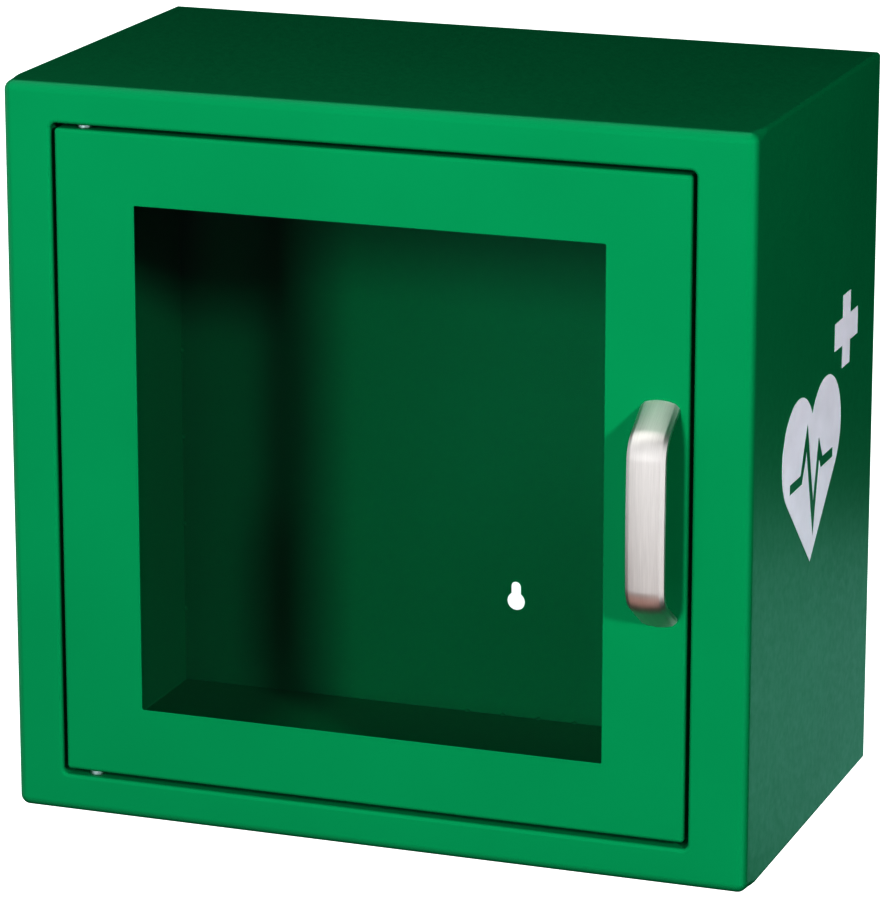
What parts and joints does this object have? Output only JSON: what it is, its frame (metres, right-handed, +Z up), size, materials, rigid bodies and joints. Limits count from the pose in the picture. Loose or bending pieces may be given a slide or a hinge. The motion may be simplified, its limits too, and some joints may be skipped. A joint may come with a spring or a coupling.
{
  "type": "defibrillator wall cabinet",
  "caption": "Folded sheet-steel wall cabinet for a defibrillator: glazed inset door on pin hinges, bow handle, magnetic catch, door alarm and keyholes in the back.",
  "frame": {"origin": "centre of the back face, which lies on the wall", "axes": "+X to the right seen from the front, +Y into the wall, +Z up; the door faces -Y"},
  "size_m": [0.3804, 0.2395, 0.37],
  "materials": {
    "green_powder_coat": "semi-gloss powder coat",
    "white_vinyl": "thin self-adhesive film",
    "zinc_steel": "bright zinc plate",
    "spring_steel": "drawn wire",
    "brushed_nickel": "satin, brushed along the grip",
    "clear_pane": "clear acrylic, polished",
    "black_foam": "closed-cell foam",
    "white_plastic": "fine moulded texture",
    "ferrite": "dark ferrite",
    "circuit_board": "solder mask",
    "black_plastic": "moulded",
    "reed_glass": "glass tube",
    "brass_contacts": "sheet brass",
    "battery_jacket": "lacquered steel jacket"
  },
  "bodies": {
    "case": {"case_shell": "green_powder_coat", "back_panel": "green_powder_coat", "tack_welds": "green_powder_coat", "catch_bracket": "green_powder_coat", "right_side_marks": "white_vinyl", "left_side_marks": "white_vinyl", "lower_hinge_pin": "zinc_steel", "lower_hinge_washer": "zinc_steel", "catch_pole_plates": "zinc_steel", "catch_screws": "zinc_steel", "alarm_tape": "black_foam", "catch_body": "white_plastic", "alarm_base": "white_plastic", "alarm_cover": "white_plastic", "catch_magnet": "ferrite", "alarm_board": "circuit_board", "alarm_siren": "black_plastic", "alarm_reed_switch": "reed_glass", "alarm_contacts": "brass_contacts", "alarm_battery": "battery_jacket"},
    "door": {"door_panel": "green_powder_coat", "window_pane": "clear_pane", "window_tape": "black_foam", "pane_studs": "zinc_steel", "pane_clips": "zinc_steel", "pane_nuts": "zinc_steel", "door_handle": "brushed_nickel", "handle_screws": "zinc_steel", "pin_bracket": "zinc_steel", "upper_hinge_bush": "zinc_steel", "pin_spring": "spring_steel", "alarm_magnet_holder": "white_plastic", "alarm_magnet": "ferrite"},
    "upper_pin": {"upper_hinge_pin": "zinc_steel"},
    "battery_door": {"alarm_battery_door": "white_plastic"},
    "alarm_switch": {"alarm_switch_knob": "black_plastic"}
  },
  "joints": [
    {"name": "door_hinge", "type": "hinge", "parent": "case", "child": "door", "pos_m": [-0.149, -0.208, 0], "axis": [0, 0, -1], "range_deg": [0, 125]},
    {"name": "upper_pin_slide", "type": "slide", "parent": "door", "child": "upper_pin", "axis": [0, 0, -1], "range_m": [0, 0.006], "stiffness_N_per_m": 500, "springref_m": -0.01, "deforming": ["pin_spring"]},
    {"name": "battery_door_slide", "type": "slide", "parent": "case", "child": "battery_door", "axis": [0, 1, 0], "range_m": [0, 0.052]},
    {"name": "alarm_switch_slide", "type": "slide", "parent": "case", "child": "alarm_switch", "axis": [0, 1, 0], "range_m": [0, 0.004]}
  ]
}
